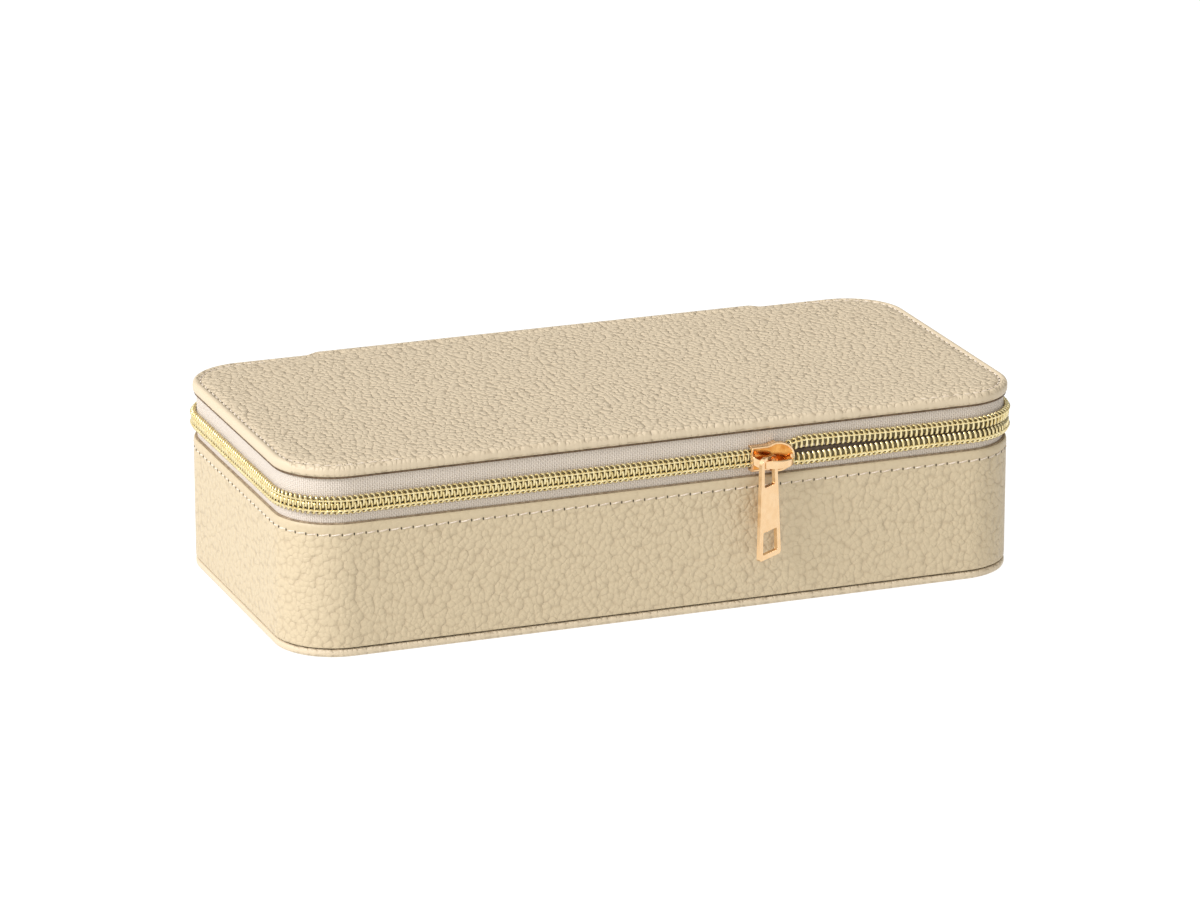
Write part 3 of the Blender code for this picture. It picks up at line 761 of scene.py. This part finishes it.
def band(outer, inner, low, high, soft):
    """A section between two insets and two levels in mm, with its two outer corners cut off."""
    corners = [(outer + soft, low), (outer, low + soft), (outer, high - soft), (outer + soft, high)]
    return [(inset * MM, z * MM) for inset, z in corners + [(inner, high), (inner, low)]]


def build_edges():
    """The stained cut edges under the lid's lip and over the wall, darkened as painted shade for the shadow
    under the lip and along the wall's fold, and the bindings behind the two tapes.
    """
    zip_z, lip, top = ZIP_Z / MM, LIP_Z / MM, WALL_TOP / MM
    for name, section, ring, material, body in (
        # The two cut edges carry painted shade as well as their stain.
        ("lid_lip_edge_stain_and_shade", band(0.35, 1.1, lip - 0.42, lip + 0.03, 0.05), True, LIP_EDGE_STAIN_AND_SHADE, "lid"),
        ("wall_cut_edge_stain_and_shade", band(0.5, 1.05, top - 0.2, top + 0.28, 0.05), True, WALL_EDGE_STAIN_AND_SHADE, "base"),
        ("base_rim_binding", band(1.55, 3.45, zip_z - 3.0, zip_z + 0.5, 0.4), False, BINDING, "base"),
        ("lid_rim_binding", band(1.55, 3.45, zip_z + 0.9, zip_z + 3.9, 0.4), False, BINDING, "lid"),
    ):
        places = stops() if ring else stops(ZIP_END, PERIMETER - ZIP_END)
        verts, faces, _ = swept(places, lambda s: section, ring=ring)
        make_piece(name, verts, faces, material, body)


# One turn of a coil, as (share of the pitch, inset in mm, depth in mm below the root, radius in mm)
TURN = [
    (0.00, 0.50, 0.62, 0.29), (0.12, 0.36, 0.33, 0.31), (0.30, 0.12, 0.28, 0.32),
    (0.48, -0.12, 0.42, 0.32), (0.60, -0.24, 0.80, 0.30), (0.65, -0.26, 1.40, 0.28),
    (0.66, -0.25, 2.10, 0.29), (0.62, -0.18, 2.75, 0.36), (0.58, 0.10, 3.00, 0.38),
    (0.64, 0.42, 2.75, 0.34), (0.76, 0.54, 2.00, 0.28), (0.90, 0.55, 1.20, 0.28),
]


def build_coils():
    """Each coil as one long bent monofilament, and the thread that sews it to the tape."""
    start, end = TONGUE_HALF + 0.3 * MM, PERIMETER - TONGUE_HALF - 0.3 * MM
    turns = int((end - start) / PITCH)
    for name, side, body, node, shift in (
        ("upper_coil_turns", 1, "lid", "upper_coil", 0.0),
        ("lower_coil_turns", -1, "base", "lower_coil", 0.5),
    ):
        path, radii, ups = [], [], []
        for number in range(turns):
            for share, inset, depth, radius in TURN:
                s = start + (number + shift + share) * PITCH
                point, normal, along = spot(s)
                part = upper_lift(s) if side > 0 else lower_drop(s)
                z = ZIP_Z + side * (COIL_HALF + part - depth * MM)
                path.append(point - normal * inset * MM + Vector((0, 0, z)))
                radii.append(radius * MM * (1 + 0.18 * unzipped(s)))
                ups.append(along)
        verts, faces = tube(path, radii, ups, 7)
        make_piece(name, verts, faces, COIL, body, [node])
        build_coil_thread(node + "_sewing", start, turns, side, body)
        # Painted shade: a dark cord inside each coil stands in for the shadow between the turns.
        build_coil_gap_shade(node + "_gap_shade", start, start + turns * PITCH, side, body)


def build_coil_gap_shade(name, start, end, side, body):
    """A cord inside a coil, which shows between its front legs as painted shade."""
    def section(s):
        root = COIL_HALF + (upper_lift(s) if side > 0 else lower_drop(s))
        levels = [ZIP_Z + side * (root - depth * MM) for depth in (0.80, 1.00, 2.45, 2.65)]
        return list(zip((0.22 * MM, 0.08 * MM, 0.08 * MM, 0.22 * MM), levels)) + [
            (0.40 * MM, levels[3]), (0.40 * MM, levels[0])]

    run = end - start
    places = stops(start, end, extra=[start + run * i / 200 for i in range(201)])
    verts, faces, _ = swept(places, section, ring=False)
    make_piece(name, verts, faces, COIL_GAP_SHADE, body)


def build_coil_thread(name, start, turns, side, body):
    """The gold thread laid along the roots of the coil, with a dip between every two turns."""
    steps = 6
    path, radii, ups = [], [], []
    for count in range(turns * steps):
        s = start + count * PITCH / steps
        point, normal, _ = spot(s)
        part = upper_lift(s) if side > 0 else lower_drop(s)
        wave = math.sin(2 * math.pi * (count / steps - 0.4))
        z = ZIP_Z + side * (COIL_HALF + part - 1.12 * MM) + 0.13 * MM * wave
        path.append(point + normal * (0.5 * MM + 0.1 * MM * wave) + Vector((0, 0, z)))
        radii.append((0.26 + 0.05 * wave) * MM)
        ups.append(normal)
    verts, faces = tube(path, radii, ups, 6)
    make_piece(name, verts, faces, COIL, body, ())


# Slider and pull


def slider_outline(shrink=0.0):
    """The slider's plate from the front, in its own frame: square at the rear, flared, round at the nose."""
    rear, front = 3.3 * MM - shrink, 4.0 * MM - shrink
    half = SLIDER_HALF - shrink
    upper = [(-half, rear)]
    for step in range(7):
        t = step / 6
        upper.append((-1.2 * MM + 2.7 * MM * t, rear + (front - rear) * smoothstep(t)))
    nose, tip = 4.4 * MM, half + NOSE_OUT
    for step in range(1, 12):
        turn = math.radians(90 - 7.5 * step)
        upper.append((tip - nose + nose * math.cos(turn), front * math.sin(turn)))
    return upper + [(tip, 0)] + [(x, -z) for x, z in reversed(upper)]


def build_slider():
    """The front plate with its raised rim and sunk face, the back plate, the diamond and the two flanges."""
    rim_in, rim_out = slider_outline(0.55 * MM), slider_outline()
    front = prism(slider_outline(0.02 * MM), -1.45 * MM, -0.78 * MM)
    back = prism(slider_outline(0.3 * MM), 1.65 * MM, 2.45 * MM)
    count = len(rim_out)
    rim_verts = [Vector((x, -1.35 * MM, z)) for x, z in rim_out]
    rim_verts += [Vector((x * 0.985, -1.66 * MM, z * 0.965)) for x, z in rim_out]
    rim_verts += [Vector((x, -1.66 * MM, z)) for x, z in rim_in]
    rim_verts += [Vector((x * 0.985, -1.35 * MM, z * 0.97)) for x, z in rim_in]
    rim_faces = []
    for strip in range(4):
        a, b = strip * count, (strip + 1) % 4 * count
        rim_faces += [(a + i, a + (i + 1) % count, b + (i + 1) % count, b + i) for i in range(count)]
    diamond = [(0.9, 0), (2.6, 0.75), (4.6, 0.5), (4.6, -0.5), (2.6, -0.75)]
    parts = [front, (rim_verts, rim_faces), back]
    parts.append(prism([(x * MM, z * MM) for x, z in diamond], -0.85 * MM, 1.75 * MM))
    for side in (1, -1):
        outer = [(x, z) for x, z in slider_outline() if z > 0 and x < 1.6 * MM]
        inner = [(x, z - 0.6 * MM) for x, z in reversed(outer)]
        parts.append(prism([(x, z * side) for x, z in outer + inner], -0.8 * MM, 0.75 * MM))
    verts, faces = joined(parts)
    verts = [v + SLIDER for v in verts]
    shell = make_piece("slider_shell", verts, faces, METAL, "slider", ["slider_body"],
                       sharp=30)
    bevel(shell, 0.12 * MM)
    # Painted reflection and shade: the sunk face is a deeper orange than the plating round it, for the light
    # that bounces about inside the hollow.
    verts, faces = prism(slider_outline(0.5 * MM), -1.52 * MM, -1.3 * MM)
    verts = [v + SLIDER for v in verts]
    make_piece("slider_face", verts, faces, GOLD_WITH_PAINTED_SHADE, "slider", (), sharp=30)


# The bridge's path over the front plate, as (x, inset) in mm from the slider's middle
CROWN = [
    (-4.9, -1.55), (-4.75, -2.3), (-1.95, -3.9), (-0.3, -4.62),
    (1.3, -4.85), (3.3, -4.45), (4.95, -3.2), (5.45, -1.55),
]


def smooth_path(points, steps):
    """A Catmull-Rom curve through the points."""
    path = []
    last = len(points) - 1
    for i in range(last):
        a, b, c, d = (Vector(points[min(max(k, 0), last)]) for k in (i - 1, i, i + 1, i + 2))
        for step in range(steps):
            t = step / steps
            path.append(0.5 * (2 * b + (c - a) * t + (2 * a - 5 * b + 4 * c - d) * t**2
                               + (3 * b - a - 3 * c + d) * t**3))
    return path + [Vector(points[-1])]


def build_crown():
    """The bridge over the front plate: a rounded strap that carries the pull and sags a little under it."""
    path = [point * MM for point in smooth_path(CROWN, 5)]
    half_t, half_h, soft = 0.42 * MM, 1.08 * MM, 0.22 * MM
    section = []
    for cx, cz, start in ((1, 1, 0), (-1, 1, 90), (-1, -1, 180), (1, -1, 270)):
        for step in range(4):
            turn = math.radians(start + 30 * step)
            x, z = cx * (half_t - soft), cz * (half_h - soft)
            section.append((x + soft * math.cos(turn), z + soft * math.sin(turn)))
    verts, faces = [], []
    for i, point in enumerate(path):
        along = (path[min(i + 1, len(path) - 1)] - path[max(i - 1, 0)]).normalized()
        across = Vector((along.y, -along.x))
        sag = (SLIDER.z - PULL.z) * smoothstep((-1.6 * MM - point.y) / (1.7 * MM))
        narrow = 1 - 0.4 * smoothstep((point.x - 3.4 * MM) / (2.0 * MM))
        for out, rise in section:
            place = point + across * out
            verts.append(SLIDER + Vector((place.x, place.y, rise * narrow - sag)))
    count = len(section)
    for i in range(len(path) - 1):
        a, b = i * count, (i + 1) * count
        faces += [(a + k, a + (k + 1) % count, b + (k + 1) % count, b + k) for k in range(count)]
    faces += [list(range(count)), list(range(len(verts) - count, len(verts)))]
    make_piece("slider_crown", verts, faces, METAL, "slider", ["slider_bridge"], sharp=40)


def rounded(corners):
    """A polygon of (x, z, radius) corners, each of them rounded by an arc."""
    steps = 5
    points = []
    for i, (x, z, radius) in enumerate(corners):
        here = Vector((x, z))
        before = (Vector(corners[i - 1][:2]) - here).normalized()
        after = (Vector(corners[(i + 1) % len(corners)][:2]) - here).normalized()
        half = before.angle(after) / 2
        start, end = here + before * radius / math.tan(half), here + after * radius / math.tan(half)
        centre = here + (before + after).normalized() * radius / math.sin(half)
        for step in range(steps + 1):
            chord = start.lerp(end, step / steps) - centre
            points.append(centre + chord.normalized() * radius)
    return points


def build_pull():
    """The pull tab: a bevelled plate with a window at each end, which hangs a little askew in its plane."""
    top = 2.35 * MM
    foot = top - 27.3 * MM
    outlines = [
        [(-3.15, 2.35, 2.0), (-4.6, foot / MM, 0.9), (4.6, foot / MM, 0.9), (3.15, 2.35, 2.0)],
        [(-2.1, 1.4, 0.9), (-2.25, -5.6, 0.5), (2.25, -5.6, 0.5), (2.1, 1.4, 0.9)],
        [(-2.85, foot / MM + 7.4, 0.35), (-3.1, foot / MM + 1.45, 0.35), (3.1, foot / MM + 1.45, 0.35),
         (2.85, foot / MM + 7.4, 0.35)],
    ]
    bm = bmesh.new()
    edges = []
    for corners in outlines:
        points = rounded([(x * MM, z * MM, radius * MM) for x, z, radius in corners])
        ring = [bm.verts.new((point.x, 0, point.y)) for point in points]
        edges += [bm.edges.new((ring[i], ring[(i + 1) % len(ring)])) for i in range(len(ring))]
    bmesh.ops.triangle_fill(bm, edges=edges, use_beauty=True, use_dissolve=False, normal=(0, 1, 0))
    made = bmesh.ops.extrude_face_region(bm, geom=bm.faces[:])
    moved = [item for item in made["geom"] if isinstance(item, bmesh.types.BMVert)]
    bmesh.ops.translate(bm, verts=moved, vec=(0, PULL_T, 0))
    turn = math.atan2(-PULL_AXIS.x, PULL_AXIS.y)
    bm.transform(Matrix.Translation((0, -PULL_T / 2, 0)))
    hung = Matrix.Rotation(turn, 4, "Z") @ Matrix.Rotation(PULL_LEAN, 4, "Y")
    bm.transform(Matrix.Translation(PULL) @ hung)
    verts = [v.co.copy() for v in bm.verts]
    bm.verts.index_update()
    faces = [[v.index for v in face.verts] for face in bm.faces]
    bm.free()
    pull = make_piece("pull_plate", verts, faces, METAL, "pull", ["pull_tab"], sharp=30)
    bevel(pull, 0.16 * MM)


# Velvet inside


def build_linings():
    """The velvet of the walls and the lid, soft at its free edge, and the velvet of the floor."""
    outer = HALF_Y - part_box("wall_lining")[1].y
    inner = outer + 1.0 * MM
    for name, node, body, up in (
        ("wall_velvet", "wall_lining", "base", 1), ("lid_velvet", "lid_lining", "lid", -1),
    ):
        sewn, free = (corner.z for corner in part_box(node)[::up])
        section = [
            (outer, sewn), (outer, free - up * 0.4 * MM), (outer + 0.2 * MM, free - up * 0.1 * MM),
            (outer + 0.5 * MM, free), (inner - 0.2 * MM, free - up * 0.1 * MM), (inner, free - up * 0.4 * MM),
            (inner, sewn),
        ]
        verts, faces, uvs = swept(stops(), lambda s: section)
        make_piece(name, verts, faces, VELVET, body, [node], uvs)
    low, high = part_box("floor_lining")
    inset = HALF_Y - high.y
    floor = [(inset, low.z), (inset, high.z - 0.4 * MM), (inset + 0.15 * MM, high.z - 0.1 * MM)]
    floor += [(inset + 0.5 * MM, high.z)]
    verts, faces, uvs = swept(stops(), lambda s: floor, tray=True)
    make_piece("floor_velvet", verts, faces, VELVET, "base", ["floor_lining"], uvs)


def signed_power(value, power):
    """The size of a value raised to a power, with the value's sign."""
    return math.copysign(abs(value) ** power, value)


def build_ring_rolls():
    """Five foam rolls in velvet: round on top, pulled in and faintly rippled towards their ends."""
    for number in range(1, 6):
        node = f"ring_roll_{number}"
        low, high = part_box(node)
        middle, half_l = (low.x + high.x) / 2, (high.y - low.y) / 2
        half_w = (high.x - low.x) / 2 - 0.1 * MM
        rows, around = 48, 28
        verts = []
        for row in range(rows + 1):
            t = 2 * row / rows - 1
            end = max(0.0, (abs(t) - 0.86) / 0.14)
            squeeze = math.sqrt(max(1 - end**2.4, 0.02))
            crown = high.z - low.z - 0.5 * MM * t * t
            for k in range(around):
                turn = 2 * math.pi * k / around
                ripple = 1 + 0.012 * math.sin(7 * turn + 3 * number) * (0.3 + end)
                x = half_w * signed_power(math.cos(turn), 0.72) * (0.55 + 0.45 * squeeze)
                z = signed_power(math.sin(turn), 0.8) * (0.35 + 0.65 * squeeze)
                level = low.z + crown * (0.5 + 0.5 * z * ripple)
                verts.append(Vector((middle + x * ripple, half_l * t, max(level, low.z))))
        faces = []
        for row in range(rows):
            a, b = row * around, (row + 1) * around
            faces += [(a + k, a + (k + 1) % around, b + (k + 1) % around, b + k) for k in range(around)]
        faces += [list(range(around)), list(range(len(verts) - around, len(verts)))]
        roll = make_piece(f"ring_roll_velvet_{number}", verts, faces, VELVET, "base", [node])


def build_lid_pad():
    """The lid's padded panel: crowned towards the inside, with its edge pulled in all round."""
    low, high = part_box("lid_pad")
    inset = HALF_Y - high.y
    deep = high.z - low.z
    rows = [(0.0, 0.0), (0.0, 0.35), (0.4, 0.62), (1.2, 0.82), (3.0, 0.95), (6.0, 1.0), (9.0, 1.0)]
    section = [(inset + out * MM, high.z - deep * share) for out, share in rows]
    verts, faces, uvs = swept(stops(), lambda s: section, tray=True)
    pad = make_piece("lid_pad_velvet", verts, faces, VELVET, "lid", ["lid_pad"], uvs)


def dress_cad_nodes():
    """The CAD nodes that stay get their woven or fibrous finish."""
    for nodes, material in (
        (("divider_main", "divider_long", "divider_front", "divider_back"), VELVET),
        (("bottom_board", "wall_board", "lid_board", "lid_frame"), BOARD),
    ):
        for node in nodes:
            finishes = frame["nodes"][node].data.materials
            finishes.clear()
            finishes.append(material)


# Stage

KEY_LIGHT = Vector((-0.80, -0.20, 0.62))


def build_stage():
    """A pale floor that glows, so that it fades into the white background, and the plain view transform."""
    size = 6.0
    verts = [Vector((x * size, y * size, 0)) for x, y in ((-1, -1), (1, -1), (1, 1), (-1, 1))]
    mesh = bpy.data.meshes.new("floor")
    mesh.from_pydata([tuple(v) for v in verts], [], [(0, 1, 2, 3)])
    ground = Surface("pale_floor", 0.9, colour=(0.12, 0.12, 0.12))
    ground.shader.inputs["Emission Color"].default_value = (1, 1, 1, 1)
    ground.shader.inputs["Emission Strength"].default_value = 0.95
    mesh.materials.append(ground.material)
    floor = bpy.data.objects.new("floor", mesh)
    bpy.context.scene.collection.objects.link(floor)
    bpy.context.scene.view_settings.view_transform = "Standard"


def build_world():
    """A soft studio all round, brighter towards the key light."""
    world = bpy.data.worlds.new("studio")
    bpy.context.scene.world = world
    world.use_nodes = True
    nodes, links = world.node_tree.nodes, world.node_tree.links
    toward = nodes.new("ShaderNodeVectorMath")
    toward.operation = "DOT_PRODUCT"
    toward.inputs[1].default_value = KEY_LIGHT.normalized()
    links.new(nodes.new("ShaderNodeTexCoord").outputs["Generated"], toward.inputs[0])
    strength = nodes.new("ShaderNodeMapRange")
    for socket, value in (("From Min", -0.2), ("From Max", 1.0), ("To Min", 0.25), ("To Max", 1.5)):
        strength.inputs[socket].default_value = value
    links.new(toward.outputs["Value"], strength.inputs["Value"])
    links.new(strength.outputs[0], nodes["Background"].inputs["Strength"])
    nodes["Background"].inputs["Color"].default_value = (1, 1, 1, 1)


def add_sun(name, toward, strength, angle, colour):
    """A soft light without end, shining along -toward."""
    light = bpy.data.lights.new(name, "SUN")
    light.energy = strength
    light.angle = math.radians(angle)
    light.color = colour
    lamp = bpy.data.objects.new(name, light)
    bpy.context.scene.collection.objects.link(lamp)
    lamp.rotation_euler = Vector(toward).to_track_quat("Z", "Y").to_euler()


def add_camera():
    """The main view: from the front, a little to the left and above."""
    azimuth, elevation = math.radians(-20.9), math.radians(17.56)
    distance, raised = 1.557, 0.0292
    level = math.cos(elevation)
    back = Vector((math.sin(azimuth) * level, -math.cos(azimuth) * level, math.sin(elevation)))
    right = Vector((math.cos(azimuth), math.sin(azimuth), 0))
    up = back.cross(right)
    turn = Matrix((right, up, back)).transposed().to_4x4()
    camera = bpy.data.cameras.new("camera")
    camera.lens = 178.0
    camera.sensor_width = 36.0
    camera.clip_start = 0.05
    eye = bpy.data.objects.new("camera", camera)
    bpy.context.scene.collection.objects.link(eye)
    eye.matrix_world = Matrix.Translation(back * distance + up * raised) @ turn
    bpy.context.scene.camera = eye


build_stage()
build_world()
add_camera()
add_sun("left_softbox", KEY_LIGHT, 1.8, 22, (0.98, 1.0, 1.10))
build_wall()
build_bottom()
build_lid()
build_spine()
build_stitching()
build_tapes()
build_edges()
build_coils()
build_slider()
build_crown()
build_pull()
build_linings()
build_ring_rolls()
build_lid_pad()
dress_cad_nodes()
